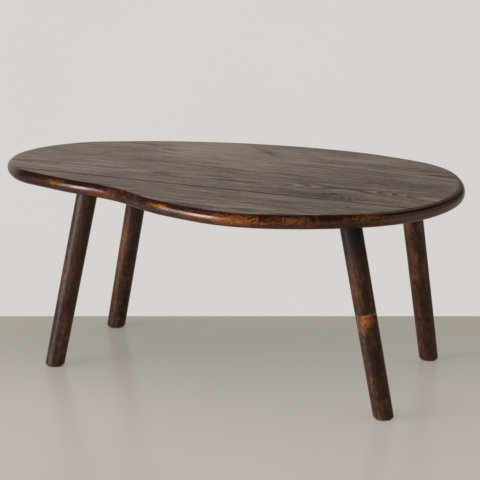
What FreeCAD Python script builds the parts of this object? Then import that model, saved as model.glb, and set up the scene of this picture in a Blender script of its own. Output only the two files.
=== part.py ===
# A low wooden coffee table. A kidney-shaped top with a fully rounded edge is glued up from four
# boards. Four round tapered legs lean outwards under it. Each leg is screwed on with a hanger
# bolt, which stands in the leg's top end and threads into an angled steel plate. Four
# countersunk screws hold each plate against the underside. A felt pad is stuck under each foot.
#
# Millimetres, +Z up. The origin is on the floor, under the middle of the top's bounding box.
# +X runs along the boards towards the wide end, and -Y is the front, where the edge is hollow.
import FreeCAD, Part
import math
import os

import Sketcher
from FreeCAD import Placement, Rotation, Vector

DRIVING_SIZES = {
    # The top
    "table_height": 407.0,
    "top_length": 980.0,
    "top_width": 650.0,
    "top_thickness": 27.0,
    "rim_flat": 0.6,  # narrow upright band left between the two roundings of the edge
    # The legs
    "leg_splay_angle": 11.5,  # degrees from upright, the same for all four
    "leg_top_diameter": 42.0,
    "leg_foot_diameter": 39.0,
    "leg_top_ease": 1.2,  # bevel round the leg's top end
    "foot_ease": 2.5,  # rounding of the rim of the foot
    "bolt_bore_depth": 36.0,
    # The felt pads
    "pad_thickness": 3.0,
    "pad_diameter": 33.0,
    # The hanger bolts
    "bolt_diameter": 7.8,
    "bolt_fit": 0.1,  # gap all round between a bolt and its hole
    "bolt_grip": 33.0,  # length of the bolt inside the leg
    "bolt_reach": 7.0,  # length of the bolt above the leg's top end
    "bolt_point": 5.0,  # length of the wood-screw point
    "bolt_bevel": 0.8,  # bevel of the machine end
    # The angled plates
    "plate_width": 66.0,
    "plate_thickness": 2.0,
    "plate_corner": 9.0,
    "seat_drop": 9.0,  # from the underside of the top to the leg's top end, along the leg
    "seat_thickness": 2.5,
    "cup_diameter": 39.0,
    "cup_wall": 2.0,
    "boss_diameter": 13.0,
    "boss_height": 3.2,
    # The plate screws
    "screw_spacing": 50.0,
    "screw_diameter": 4.0,
    "screw_head_diameter": 7.6,
    "screw_length": 18.0,
    "screw_point": 3.0,
    "screw_fit": 0.06,  # gap all round between a screw and its hole
    "screw_end_gap": 0.5,  # from a screw's point to the end of its hole
    "recess_width": 0.9,
    "recess_depth": 1.1,
    "recess_length": 4.2,
    # How far a cutting tool runs past what it cuts
    "overrun": 20.0,
}

# The outline, anticlockwise from the left end, as shares of the top's length and width
OUTLINE_SHARES = [
    (-0.500, 0.000),
    (-0.424, -0.216),
    (-0.290, -0.301),
    (-0.150, -0.348),
    (0.020, -0.464),
    (0.165, -0.500),
    (0.325, -0.422),
    (0.465, -0.228),
    (0.500, 0.000),
    (0.466, 0.205),
    (0.378, 0.388),
    (0.235, 0.476),
    (0.050, 0.500),
    (-0.170, 0.446),
    (-0.335, 0.346),
    (-0.447, 0.228),
    (-0.492, 0.100),
]

# The boards from the front to the back, and the glue joints between them as shares of the width
BOARDS = ["front", "front_middle", "back_middle", "back"]
GLUE_JOINT_SHARES = [-0.212, 0.053, 0.312]
PAST_RIM_SHARE = 0.6  # beyond the rim, so that the outer boards keep the whole of it

# Where each leg's axis meets the underside, as shares of the top's length and width,
# and the way its foot points, in degrees anticlockwise from +X
LEGS = {
    "front_left": {"seat_shares": (-0.259, -0.167), "heading": 206.7},
    "back_left": {"seat_shares": (-0.280, 0.233), "heading": 174.6},
    "front_right": {"seat_shares": (0.341, -0.235), "heading": -2.0},
    "back_right": {"seat_shares": (0.336, 0.250), "heading": 72.5},
}

doc = FreeCAD.newDocument("low_table")
sheet = doc.addObject("Spreadsheet::Sheet", "Sizes")
for row, (alias, value) in enumerate(DRIVING_SIZES.items(), start=1):
    sheet.set(f"A{row}", alias)
    sheet.set(f"B{row}", str(value))
    sheet.setAlias(f"B{row}", alias)
doc.recompute()

Y_AXIS, Z_AXIS = Vector(0, 1, 0), Vector(0, 0, 1)
SUB_PARTS = []


def amount(formula):
    """What a formula in the sheet's aliases comes to."""
    return float(sheet.evalExpression(formula))


def size(alias):
    """One driving size."""
    return amount(f"Sizes.{alias}")


def raised(frame, height):
    """The frame, moved along its own Z."""
    return frame.multiply(Placement(Vector(0, 0, height), Rotation()))


def block(name, length, width, height, frame=Placement()):
    """A box whose sizes are formulas. It stands on the frame's XY plane, centred on its Z axis."""
    made = doc.addObject("Part::Box", name)
    for side, formula in (("Length", length), ("Width", width), ("Height", height)):
        made.setExpression(side, formula)
    corner = Vector(-amount(length) / 2, -amount(width) / 2, 0)
    made.Placement = frame.multiply(Placement(corner, Rotation()))
    return made


def rod(name, diameter, height, frame=Placement()):
    """A round bar whose sizes are formulas. It stands on the frame's XY plane, round its Z axis."""
    made = doc.addObject("Part::Cylinder", name)
    made.setExpression("Radius", f"({diameter}) / 2")
    made.setExpression("Height", height)
    made.Placement = frame
    return made


def boolean(kind, name, base, tool):
    """A cut, common or fuse of two objects."""
    made = doc.addObject(kind, name)
    made.Base, made.Tool = base, tool
    return made


def rounded(name, base, radius, chosen):
    """The base with a fillet along its chosen edges."""
    doc.recompute()
    made = doc.addObject("Part::Fillet", name)
    made.Base = base
    numbers = [number for number, edge in enumerate(base.Shape.Edges, start=1) if chosen(edge)]
    made.Edges = [(number, size(radius), size(radius)) for number in numbers]
    return made


def sketch_on(body, plane_role):
    """A sketch on one of the body's own origin planes."""
    plane = next(feature for feature in body.Origin.OriginFeatures if feature.Role == plane_role)
    sketch = body.newObject("Sketcher::SketchObject", body.Name + "_sketch")
    sketch.AttachmentSupport = (plane, [""])
    sketch.MapMode = "FlatFace"
    return sketch


def turned(name, corners, frame=Placement()):
    """A body turned about its Z axis. Each corner of its half section is two formulas: radius and height."""
    body = doc.addObject("PartDesign::Body", name)
    sketch = sketch_on(body, "XZ_Plane")
    points = [Vector(amount(radius), amount(height), 0) for radius, height in corners]
    for start, end in zip(points, points[1:] + points[:1]):
        sketch.addGeometry(Part.LineSegment(start, end))
    root_point = (-1, 1)
    for corner, formulas in enumerate(corners):
        sketch.addConstraint(Sketcher.Constraint("Coincident", (corner - 1) % len(corners), 2, corner, 1))
        for way, formula in zip(("DistanceX", "DistanceY"), formulas):
            place = sketch.addConstraint(Sketcher.Constraint(way, *root_point, corner, 1, amount(formula)))
            sketch.setExpression(f"Constraints[{place}]", formula)
    turning = body.newObject("PartDesign::Revolution", name + "_turning")
    turning.Profile = sketch
    turning.ReferenceAxis = (sketch, ["V_Axis"])
    turning.Angle = 360
    body.Tip = turning
    body.Placement = frame
    return body


def sub_part(made, label):
    """Counts an object as a finished piece. Its label names its node."""
    made.Label = label
    SUB_PARTS.append(made)


# Where things stand
UNDERSIDE = "(Sizes.table_height - Sizes.top_thickness)"
LEG_LENGTH = f"(({UNDERSIDE} - Sizes.pad_thickness) / cos(Sizes.leg_splay_angle) - Sizes.seat_drop)"
BOLT_HOLE = "Sizes.bolt_diameter + 2 * Sizes.bolt_fit"
SCREW_HOLE = "Sizes.screw_diameter + 2 * Sizes.screw_fit"

# A leg's seat as the plate sees it: the plate's X is the way the foot points
SEAT_IN_PLATE = Placement(
    Vector(0, 0, -amount("Sizes.seat_drop * cos(Sizes.leg_splay_angle)")),
    Rotation(Y_AXIS, -size("leg_splay_angle")),
)


def plate_frame(name):
    """The plate's own frame: in the underside, right above the middle of the leg's top end."""
    x_share, y_share = LEGS[name]["seat_shares"]
    crossing = Vector(x_share * size("top_length"), y_share * size("top_width"), amount(UNDERSIDE))
    turn = Rotation(Z_AXIS, LEGS[name]["heading"])
    aside = amount("Sizes.seat_drop * sin(Sizes.leg_splay_angle)")
    return Placement(crossing + turn.multVec(Vector(aside, 0, 0)), turn)


def leg_frame(name):
    """The leg's own frame: in the middle of its top end, with Z up along the leg."""
    return plate_frame(name).multiply(SEAT_IN_PLATE)


def screw_frames(plate):
    """The frames of a plate's four screws: in the middle of each head, level with the plate's lower face."""
    half = size("screw_spacing") / 2
    spots = [Vector(x, y, -size("plate_thickness")) for x in (-half, half) for y in (-half, half)]
    return [plate.multiply(Placement(spot, Rotation())) for spot in spots]


def arc_leaving(start, heading, end):
    """The arc that leaves its start along a heading of length one and reaches its end."""
    chord = end - start
    halfway = (heading + chord / chord.Length).normalize()
    return Part.Arc(start, start + halfway * (chord.dot(chord) / 2 / halfway.dot(chord)), end)


def outline_arcs(points):
    """Two arcs from each point to the next, all tangent where they meet."""
    following = points[1:] + points[:1]
    headings = []
    for before, point, after in zip(points[-1:] + points[:-1], points, following):
        arriving, leaving = point - before, after - point
        tangent = arriving * (leaving.Length / arriving.Length) + leaving * (arriving.Length / leaving.Length)
        headings.append(tangent.normalize())
    arcs = []
    for start, end, first, last in zip(points, following, headings, headings[1:] + headings[:1]):
        chord = end - start
        along = chord.dot(first + last)
        bulge = 2 * (1 - first.dot(last)) * chord.dot(chord)
        reach = chord.dot(chord) / (along + math.sqrt(along * along + bulge))
        middle = (start + end + (first - last) * reach) / 2
        arcs.append(arc_leaving(start, first, middle))
        arcs.append(arc_leaving(middle, (chord - (first + last) * reach).normalize(), end))
    return arcs


def glued_top():
    """The whole top before it is drilled: padded from its outline and rounded all round its edge."""
    body = doc.addObject("PartDesign::Body", "glued_top")
    outline = sketch_on(body, "XY_Plane")
    length, width = size("top_length"), size("top_width")
    for arc in outline_arcs([Vector(x * length, y * width, 0) for x, y in OUTLINE_SHARES]):
        outline.addGeometry(arc)
    slab = body.newObject("PartDesign::Pad", "top_slab")
    slab.Profile = outline
    slab.setExpression("Length", "Sizes.top_thickness")
    doc.recompute()
    rim = [n for n, edge in enumerate(slab.Shape.Edges, start=1) if isinstance(edge.Curve, Part.Circle)]
    rounding = body.newObject("PartDesign::Fillet", "top_rounding")
    rounding.Base = (slab, [f"Edge{number}" for number in rim])
    rounding.setExpression("Radius", "(Sizes.top_thickness - Sizes.rim_flat) / 2")
    body.Tip = rounding
    body.setExpression("Placement.Base.z", UNDERSIDE)
    return body


def pilot_holes():
    """The screw holes in the underside, as solids."""
    holes = doc.addObject("Part::Compound", "pilot_holes")
    holes.Links = [
        rod(f"pilot_hole_{name}_{number}", SCREW_HOLE, "Sizes.screw_length + Sizes.screw_end_gap", frame)
        for name in LEGS
        for number, frame in enumerate(screw_frames(plate_frame(name)), start=1)
    ]
    return holes


def board(name, front_share, back_share, top, holes):
    """One board of the top, between two glue joints or a joint and the edge."""
    middle = (front_share + back_share) / 2 * size("top_width")
    strip = block(
        f"strip_{name}",
        "Sizes.top_length + 2 * Sizes.overrun",
        f"{back_share - front_share} * Sizes.top_width",
        "Sizes.top_thickness + 2 * Sizes.overrun",
        Placement(Vector(0, middle, amount(f"{UNDERSIDE} - Sizes.overrun")), Rotation()),
    )
    sawn = boolean("Part::Common", f"sawn_board_{name}", top, strip)
    return boolean("Part::Cut", f"board_{name}", sawn, holes)


def leg(name, room):
    """A tapered round with a blind bore in its top end. Its foot is sawn level and eased round its rim."""
    taper = "(Sizes.leg_top_diameter - Sizes.leg_foot_diameter)"
    low_diameter = f"(Sizes.leg_foot_diameter - {taper} * Sizes.overrun / {LEG_LENGTH})"
    blank = turned(
        f"leg_blank_{name}",
        [
            (f"({BOLT_HOLE}) / 2", "0"),
            ("Sizes.leg_top_diameter / 2 - Sizes.leg_top_ease", "0"),
            ("Sizes.leg_top_diameter / 2", "-Sizes.leg_top_ease"),
            (f"{low_diameter} / 2", f"-{LEG_LENGTH} - Sizes.overrun"),
            ("0", f"-{LEG_LENGTH} - Sizes.overrun"),
            ("0", "-Sizes.bolt_bore_depth"),
            (f"({BOLT_HOLE}) / 2", "-Sizes.bolt_bore_depth"),
        ],
        leg_frame(name),
    )
    sawn = boolean("Part::Common", f"leg_sawn_{name}", blank, room)
    return rounded(f"leg_eased_{name}", sawn, "foot_ease", lambda edge: isinstance(edge.Curve, Part.Ellipse))


def felt_pad(name):
    """A round pad on the floor, under the middle of the foot."""
    foot = leg_frame(name).multVec(Vector(0, 0, -amount(LEG_LENGTH)))
    on_floor = Placement(Vector(foot.x, foot.y, 0), Rotation())
    return rod(f"pad_{name}", "Sizes.pad_diameter", "Sizes.pad_thickness", on_floor)


def hanger_bolt(name):
    """A stud with a wood-screw point in the leg and a bevelled machine end in the plate."""
    return turned(
        f"bolt_{name}",
        [
            ("0", "-Sizes.bolt_grip"),
            ("Sizes.bolt_diameter / 2", "Sizes.bolt_point - Sizes.bolt_grip"),
            ("Sizes.bolt_diameter / 2", "Sizes.bolt_reach - Sizes.bolt_bevel"),
            ("Sizes.bolt_diameter / 2 - Sizes.bolt_bevel", "Sizes.bolt_reach"),
            ("0", "Sizes.bolt_reach"),
        ],
        leg_frame(name),
    )


def plate_screw_hole(name, frame):
    """One countersunk hole of a plate, as a solid."""
    bore = rod(f"{name}_bore", SCREW_HOLE, "2 * Sizes.overrun", raised(frame, -size("overrun")))
    sink = doc.addObject("Part::Cone", f"{name}_sink")
    sink.setExpression("Radius1", "Sizes.screw_head_diameter / 2 + Sizes.screw_fit")
    sink.setExpression("Radius2", "Sizes.screw_diameter / 2 + Sizes.screw_fit")
    sink.setExpression("Height", "(Sizes.screw_head_diameter - Sizes.screw_diameter) / 2")
    sink.Placement = frame
    return boolean("Part::Fuse", f"{name}_hole", bore, sink)


def cup_solid(name, diameter, lift, top):
    """A round bar from a plane lifted so far off the leg's tilted seat up to a height over the plate."""
    above = block(
        f"{name}_above",
        "2 * Sizes.cup_diameter",
        "2 * Sizes.cup_diameter",
        "2 * Sizes.overrun",
        raised(SEAT_IN_PLATE, lift),
    )
    low = "Sizes.seat_drop + Sizes.overrun"
    bar = rod(f"{name}_bar", diameter, f"{low} + {top}", raised(Placement(), -amount(low)))
    return boolean("Part::Common", name, bar, above)


def leg_plate(name):
    """A square flange on the wood, and a round cup under it whose bottom slopes to be square to the leg.
    A threaded boss stands inside the cup."""
    flange = rounded(
        f"flange_{name}",
        block(
            f"flange_blank_{name}",
            "Sizes.plate_width",
            "Sizes.plate_width",
            "Sizes.plate_thickness",
            raised(Placement(), -size("plate_thickness")),
        ),
        "plate_corner",
        lambda edge: round(abs(edge.Curve.Direction.z)) == 1,
    )
    cup = cup_solid(f"cup_{name}", "Sizes.cup_diameter", 0, "0")
    inside = "Sizes.cup_diameter - 2 * Sizes.cup_wall"
    hollow = cup_solid(f"cup_hollow_{name}", inside, size("seat_thickness"), "Sizes.overrun")
    boss_top = "Sizes.seat_thickness + Sizes.boss_height"
    boss = rod(f"boss_{name}", "Sizes.boss_diameter", boss_top, SEAT_IN_PLATE)
    thread = rod(f"thread_{name}", BOLT_HOLE, "2 * Sizes.overrun", raised(SEAT_IN_PLATE, -size("overrun")))
    holes = doc.addObject("Part::Compound", f"plate_holes_{name}")
    holes.Links = [thread] + [
        plate_screw_hole(f"plate_{name}_{number}", frame)
        for number, frame in enumerate(screw_frames(Placement()), start=1)
    ]
    pressed = boolean("Part::Fuse", f"pressed_{name}", flange, cup)
    hollowed = boolean("Part::Cut", f"hollowed_{name}", pressed, hollow)
    bossed = boolean("Part::Fuse", f"bossed_{name}", hollowed, boss)
    plate = boolean("Part::Cut", f"plate_{name}", bossed, holes)
    plate.Placement = plate_frame(name)
    return plate


def wood_screw():
    """A countersunk wood screw with a cross recess, point up."""
    blank = turned(
        "screw_blank",
        [
            ("0", "0"),
            ("Sizes.screw_head_diameter / 2", "0"),
            ("Sizes.screw_diameter / 2", "(Sizes.screw_head_diameter - Sizes.screw_diameter) / 2"),
            ("Sizes.screw_diameter / 2", "Sizes.screw_length - Sizes.screw_point"),
            ("0", "Sizes.screw_length"),
        ],
    )
    recess = boolean(
        "Part::Fuse",
        "recess",
        *[
            block(
                f"recess_arm_{number}",
                "Sizes.recess_length",
                "Sizes.recess_width",
                "Sizes.recess_depth + Sizes.overrun",
                Placement(Vector(0, 0, -size("overrun")), Rotation(Z_AXIS, turn)),
            )
            for number, turn in enumerate((0, 90), start=1)
        ],
    )
    return boolean("Part::Cut", "screw", blank, recess)


def plate_screws(name, screw):
    """The four screws of one plate, as separate solids."""
    driven = []
    for number, frame in enumerate(screw_frames(plate_frame(name)), start=1):
        link = doc.addObject("App::Link", f"screw_{name}_{number}")
        link.LinkedObject = screw
        link.Placement = frame
        driven.append(link)
    group = doc.addObject("Part::Compound", f"screws_{name}")
    group.Links = driven
    return group


whole_top, drilling = glued_top(), pilot_holes()
saw_shares = [-PAST_RIM_SHARE, *GLUE_JOINT_SHARES, PAST_RIM_SHARE]
for board_name, front_share, back_share in zip(BOARDS, saw_shares, saw_shares[1:]):
    sub_part(board(board_name, front_share, back_share, whole_top, drilling), f"top_board_{board_name}")

above_pads = block(
    "above_pads",
    "2 * Sizes.top_length",
    "2 * Sizes.top_width",
    "Sizes.table_height",
    raised(Placement(), size("pad_thickness")),
)
plain_screw = wood_screw()
for leg_name in LEGS:
    sub_part(leg_plate(leg_name), f"leg_plate_{leg_name}")
    sub_part(plate_screws(leg_name, plain_screw), f"plate_screws_{leg_name}")
    sub_part(hanger_bolt(leg_name), f"hanger_bolt_{leg_name}")
    sub_part(leg(leg_name, above_pads), f"leg_{leg_name}")
    sub_part(felt_pad(leg_name), f"felt_pad_{leg_name}")

doc.recompute()
failed = [made.Name for made in doc.Objects if {"Invalid", "Error"} & set(made.State)]
if failed:
    raise SystemExit(f"these objects failed: {failed}")
for made in SUB_PARTS:
    if made.Shape.isNull() or not made.Shape.isValid() or not made.Shape.Solids:
        raise SystemExit(f"{made.Label} has no valid solid")
os.makedirs("parts", exist_ok=True)
for made in SUB_PARTS:
    made.Shape.exportStep(os.path.join("parts", made.Label + ".step"))
    print(made.Label, len(made.Shape.Solids), "solids", round(made.Shape.Volume), "mm3")
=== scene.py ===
# A low coffee table in dark stained hardwood. The kidney-shaped top is glued up from four boards and has
# a fully rounded edge. Four round legs lean outwards under it, each on a steel plate.
# Metres, +Z up, with the origin on the floor under the middle of the top.
import math

import bmesh
import bpy
import numpy as np
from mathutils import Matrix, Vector


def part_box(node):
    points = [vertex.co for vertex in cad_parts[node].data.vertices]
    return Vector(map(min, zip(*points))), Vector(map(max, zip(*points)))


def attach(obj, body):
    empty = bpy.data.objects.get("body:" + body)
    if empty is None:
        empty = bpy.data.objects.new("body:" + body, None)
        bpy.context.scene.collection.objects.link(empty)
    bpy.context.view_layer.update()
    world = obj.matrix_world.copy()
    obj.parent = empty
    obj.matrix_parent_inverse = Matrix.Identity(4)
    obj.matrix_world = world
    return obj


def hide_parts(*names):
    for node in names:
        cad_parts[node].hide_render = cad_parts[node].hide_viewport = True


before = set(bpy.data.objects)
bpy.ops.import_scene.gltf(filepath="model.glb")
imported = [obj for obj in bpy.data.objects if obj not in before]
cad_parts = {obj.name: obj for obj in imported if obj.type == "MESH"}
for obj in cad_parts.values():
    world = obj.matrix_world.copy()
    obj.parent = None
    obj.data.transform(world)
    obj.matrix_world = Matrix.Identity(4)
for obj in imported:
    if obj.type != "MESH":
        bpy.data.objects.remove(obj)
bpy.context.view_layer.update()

# The studio: a smooth pale grey floor, a plain pale wall close behind the table, two tall soft lamps one
# before the other at the front left, and a surround whose fill comes low from the same side. The wall and
# the floor show from one side only.
CAMERA_PLACE = (1.710, -3.396, 1.200)
CAMERA_TURN = (math.radians(76.23), 0.0, math.radians(26.3))
CAMERA_LENS = 145.5
SENSOR_WIDTH = 36.0
WALL_BEHIND_ORIGIN = 0.378
WALL_HEIGHT = 3.2
STAGE_REACH = 9.0
LAMP_BEARING = math.radians(229.5)
# Each lamp's distance, the height of its middle, its width, height and power
LAMPS = [(8.0, 1.80, 6.0, 4.2, 288.0), (7.8, 1.70, 2.8, 3.8, 248.0)]
FILL_BEARING = math.radians(212)
FILL_GLOW = 5.5
FILL_SHADE = 0.22
FILL_OVERHEAD = 1.10
BAND_BEARING = math.radians(138)
BAND_GLOW = 0.85
SIDE_GLOW = 0.12
OVERHEAD_GLOW = 0.05
# Where the fill and the band grow, as the cosine of the angle to their bearing, and where each gives way
# overhead, as the sine of the angle above the floor
FILL_GROWS = (-0.30, 0.65)
FILL_ENDS = (0.20, 0.50)
BAND_GROWS = (0.70, 0.95)
BAND_ENDS = (0.34, 0.54)


def paint(red, green, blue):
    """A colour given as it looks on a screen, from 0 to 255, in the linear values that shaders take."""
    shares = [part / 255 for part in (red, green, blue)]
    return (*(part / 12.92 if part <= 0.04045 else ((part + 0.055) / 1.055) ** 2.4 for part in shares), 1.0)


FLOOR_GREY = paint(190, 185, 178)
FLOOR_FAR = paint(168, 163, 154)
FLOOR_CLOUD = paint(160, 154, 148)
FLOOR_FADE = 0.30  # how far before and behind the origin the floor grows darker
FLOOR_ROUGHNESS = 0.23
FLOOR_EVENNESS = 0.5  # the share of the floor's light that no shadow dims
WALL_WHITE = paint(216, 212, 208)
WALL_CLOUD = paint(211, 206, 202)


class Wiring:
    """Adds nodes to one tree and joins them. An input is a value, another node's output, or None."""

    def __init__(self, tree):
        self.tree = tree

    def feed(self, socket, value):
        """Joins an output to a socket or sets a value on it. None leaves the socket as it is."""
        if isinstance(value, bpy.types.NodeSocket):
            self.tree.links.new(value, socket)
        elif value is not None:
            socket.default_value = value

    def add(self, kind, *inputs, out=0, **settings):
        """A new node with these inputs, in the order of its sockets, and the output of it that is used."""
        made = self.tree.nodes.new(kind)
        for setting, value in settings.items():
            setattr(made, setting, value)
        for socket, value in zip(made.inputs, inputs):
            self.feed(socket, value)
        return made.outputs[out]

    def end(self, kind, surface):
        """Ends the tree in this kind of output node."""
        self.tree.links.new(surface, self.tree.nodes.new(kind).inputs[0])

    def maths(self, operation, *inputs):
        return self.add("ShaderNodeMath", *inputs, operation=operation)

    def times(self, first, second):
        return self.maths("MULTIPLY", first, second)

    def less(self, first, second):
        """The first value less the second."""
        return self.maths("SUBTRACT", first, second)

    def vector(self, operation, *inputs, out=0):
        return self.add("ShaderNodeVectorMath", *inputs, operation=operation, out=out)

    def parts(self, place):
        """The X, Y and Z of a place."""
        split = self.tree.nodes.new("ShaderNodeSeparateXYZ")
        self.tree.links.new(place, split.inputs[0])
        return split.outputs

    def joined(self, x, y, z):
        return self.add("ShaderNodeCombineXYZ", x, y, z)

    def scaled(self, place, scale, shift=(0, 0, 0)):
        """The place stretched along each axis, and then shifted."""
        return self.vector("MULTIPLY_ADD", place, scale, shift)

    def weighed(self, level, *shares):
        """A level, with each value added to it as many times as its weight says."""
        for value, weight in shares:
            level = self.maths("MULTIPLY_ADD", value, weight, level)
        return level

    def fade(self, share, first, second):
        """The first value, which gives way to the second as the share grows from 0 to 1."""
        return self.maths("MULTIPLY_ADD", self.less(second, first), share, first)

    def span(self, value, low, high, to_low=0.0, to_high=1.0, smooth=True):
        """The value taken from one range to another, and held at its ends."""
        kind = "SMOOTHSTEP" if smooth else "LINEAR"
        return self.add("ShaderNodeMapRange", value, low, high, to_low, to_high, interpolation_type=kind)

    def noise(self, place, scale, detail=2.0, roughness=0.5, out=0):
        return self.add("ShaderNodeTexNoise", place, None, scale, detail, roughness, out=out)

    def stretched_noise(self, place, scales, detail, roughness=0.5, shift=(0, 0, 0), out=0):
        """Noise with a scale of its own along each axis."""
        return self.noise(self.scaled(place, scales, shift), 1.0, detail, roughness, out)

    def mix(self, share, first, second):
        """A share of the second colour laid over the first."""
        node = self.tree.nodes.new("ShaderNodeMix")
        node.data_type = "RGBA"
        for socket, value in ((0, share), (6, first), (7, second)):
            self.feed(node.inputs[socket], value)
        return node.outputs[2]


def new_material(name):
    """An empty material and its wiring."""
    material = bpy.data.materials.new(name)
    material.use_nodes = True
    material.node_tree.nodes.clear()
    return material, Wiring(material.node_tree)


def one_sided(wiring, surface):
    """Shows a surface from its front only."""
    from_behind = wiring.add("ShaderNodeNewGeometry", out="Backfacing")
    clear = wiring.add("ShaderNodeBsdfTransparent")
    wiring.end("ShaderNodeOutputMaterial", wiring.add("ShaderNodeMixShader", from_behind, surface, clear))


def floor_material(away):
    """Smooth painted concrete with a faint cloudiness, a little darker towards the wall."""
    material, wiring = new_material("pale_floor")
    place = wiring.add("ShaderNodeTexCoord", out="Object")
    clouds = wiring.noise(place, 3.0, 4.0)
    far = wiring.span(wiring.vector("DOT_PRODUCT", place, away, out="Value"), -FLOOR_FADE, FLOOR_FADE)
    shade = wiring.mix(far, FLOOR_GREY, FLOOR_FAR)
    shade = wiring.mix(wiring.span(clouds, 0.3, 0.7, 0.0, 0.05), shade, FLOOR_CLOUD)
    lit = wiring.add("ShaderNodeBsdfPrincipled", shade, None, FLOOR_ROUGHNESS)
    even = wiring.add("ShaderNodeEmission", shade, 1.0)
    one_sided(wiring, wiring.add("ShaderNodeMixShader", FLOOR_EVENNESS, lit, even))
    return material


def wall_material():
    """Plain pale paint, which looks the same wherever the lamps stand."""
    material, wiring = new_material("pale_wall")
    place = wiring.add("ShaderNodeTexCoord", out="Object")
    clouds = wiring.span(wiring.noise(place, 2.0), 0.3, 0.7, 0.0, 0.2)
    shade = wiring.mix(clouds, WALL_WHITE, WALL_CLOUD)
    one_sided(wiring, wiring.add("ShaderNodeEmission", shade, 1.0))
    return material


def stage_plane(name, corners, material):
    """One flat piece of the studio."""
    mesh = bpy.data.meshes.new(name)
    mesh.from_pydata(corners, [], [range(4)])
    mesh.materials.append(material)
    plane = bpy.data.objects.new(name, mesh)
    bpy.context.scene.collection.objects.link(plane)
    return plane


def surround():
    """The light of the room: a fill that comes low from the left, and in reflections a pale band behind the
    table that darkens overhead. To the camera it is plain and pale."""
    world = bpy.data.worlds.new("surround")
    world.use_nodes = True
    world.node_tree.nodes.clear()
    wiring = Wiring(world.node_tree)
    way = wiring.add("ShaderNodeTexCoord", out="Generated")
    path = wiring.tree.nodes.new("ShaderNodeLightPath").outputs
    rise = wiring.parts(way)[2]
    fill_way = (math.cos(FILL_BEARING), math.sin(FILL_BEARING), 0)
    lit_side = wiring.vector("DOT_PRODUCT", way, fill_way, out="Value")
    fill = wiring.span(lit_side, *FILL_GROWS, FILL_SHADE, FILL_GLOW)
    fill = wiring.fade(wiring.span(rise, *FILL_ENDS), fill, FILL_OVERHEAD)
    band_way = (math.cos(BAND_BEARING), math.sin(BAND_BEARING), 0)
    ahead = wiring.vector("DOT_PRODUCT", way, band_way, out="Value")
    band = wiring.span(ahead, *BAND_GROWS, SIDE_GLOW, BAND_GLOW)
    band = wiring.fade(wiring.span(rise, *BAND_ENDS), band, OVERHEAD_GLOW)
    strength = wiring.fade(path["Is Glossy Ray"], fill, band)
    strength = wiring.fade(path["Is Camera Ray"], strength, 1.0)
    wiring.end("ShaderNodeOutputWorld", wiring.add("ShaderNodeBackground", WALL_WHITE, strength))
    return world


def lamp(distance, middle_height, width, height, power):
    """One soft lamp, turned towards the table."""
    data = bpy.data.lights.new("soft_lamp", "AREA")
    data.shape = "RECTANGLE"
    data.size = width
    data.size_y = height
    data.energy = power
    made = bpy.data.objects.new("soft_lamp", data)
    towards = Vector((math.cos(LAMP_BEARING), math.sin(LAMP_BEARING), 0))
    made.location = towards * distance + Vector((0, 0, middle_height))
    made.rotation_euler = (math.radians(90), 0, LAMP_BEARING + math.radians(90))
    made.visible_camera = False
    bpy.context.scene.collection.objects.link(made)


def camera():
    """The camera, and the way it looks along the floor."""
    data = bpy.data.cameras.new("camera")
    data.lens = CAMERA_LENS
    data.sensor_width = SENSOR_WIDTH
    made = bpy.data.objects.new("camera", data)
    made.location = CAMERA_PLACE
    made.rotation_euler = CAMERA_TURN
    bpy.context.scene.collection.objects.link(made)
    bpy.context.scene.camera = made
    return Vector((-math.sin(CAMERA_TURN[2]), math.cos(CAMERA_TURN[2]), 0))


bpy.context.scene.view_settings.view_transform = "Standard"
for sizes in LAMPS:
    lamp(*sizes)
away = camera()
bpy.context.scene.world = surround()
floor_corners = [(x * STAGE_REACH, y * STAGE_REACH, 0) for x, y in ((-1, -1), (1, -1), (1, 1), (-1, 1))]
stage_plane("floor", floor_corners, floor_material(away))
wall_foot = away * WALL_BEHIND_ORIGIN
sideways = Vector((away.y, -away.x, 0)) * STAGE_REACH
upwards = Vector((0, 0, WALL_HEIGHT))
wall_corners = [wall_foot - sideways, wall_foot + sideways]
wall_corners += [wall_corners[1] + upwards, wall_corners[0] + upwards]
wall = stage_plane("wall", wall_corners, wall_material())
wall.visible_glossy = wall.visible_diffuse = wall.visible_shadow = False

# The top: four boards of one open-grained hardwood, glued edge to edge, sawn to a kidney shape and worked
# to a fully rounded edge. It is stained nearly black and waxed, and rubbed back to amber along the front.
BOARD_NODES = ["top_board_front", "top_board_front_middle", "top_board_back_middle", "top_board_back"]
TOP_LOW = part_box(BOARD_NODES[0])[0].z
TOP_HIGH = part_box(BOARD_NODES[0])[1].z
RIM_BAND = 0.0006  # the narrow upright band between the two roundings
RIM_POINTS = 640
RIM_EASE = 0.009  # how far along the rim its small corners are evened out
ROUNDING_STEPS = 9
FLAT_REST = 1.25  # where the flat faces rest, in roundings from the edge
JOINT_BEVEL = 0.00035
JOINT_TOLERANCE = 1e-6
EDGE_WAVER = 0.00015
EDGE_WAVES = ((5, 1.0, 1.0), (11, 2.4, 0.7), (23, 0.0, 0.4))  # waves round the rim, their start and share
BOARD_CRISP = math.radians(35)  # the angle from which two faces meet in a crisp corner

DARK_STAIN = paint(53, 33, 19)
MID_STAIN = paint(88, 69, 56)
PALE_STAIN = paint(140, 121, 106)
GREY_HAZE = paint(86, 80, 72)
EDGE_STAIN = paint(82, 41, 19)
EDGE_BLACK = paint(30, 14, 8)
PAINTED_SHEEN_GREY = paint(74, 59, 51)
UNDER_BROWN = paint(78, 58, 43)
AMBER = paint(126, 66, 25)
GOLD = paint(172, 103, 46)
PORE_BLACK = paint(22, 13, 9)
BARE_WOOD = paint(196, 170, 140)
AMBER_WAX = paint(255, 236, 228)
BOARD_RING = 0.0065  # the width of a growth ring
DIRT_REACH = (0.0036, 0.0010)  # from a joint, where its dirt starts and where it lies thickest
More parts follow.
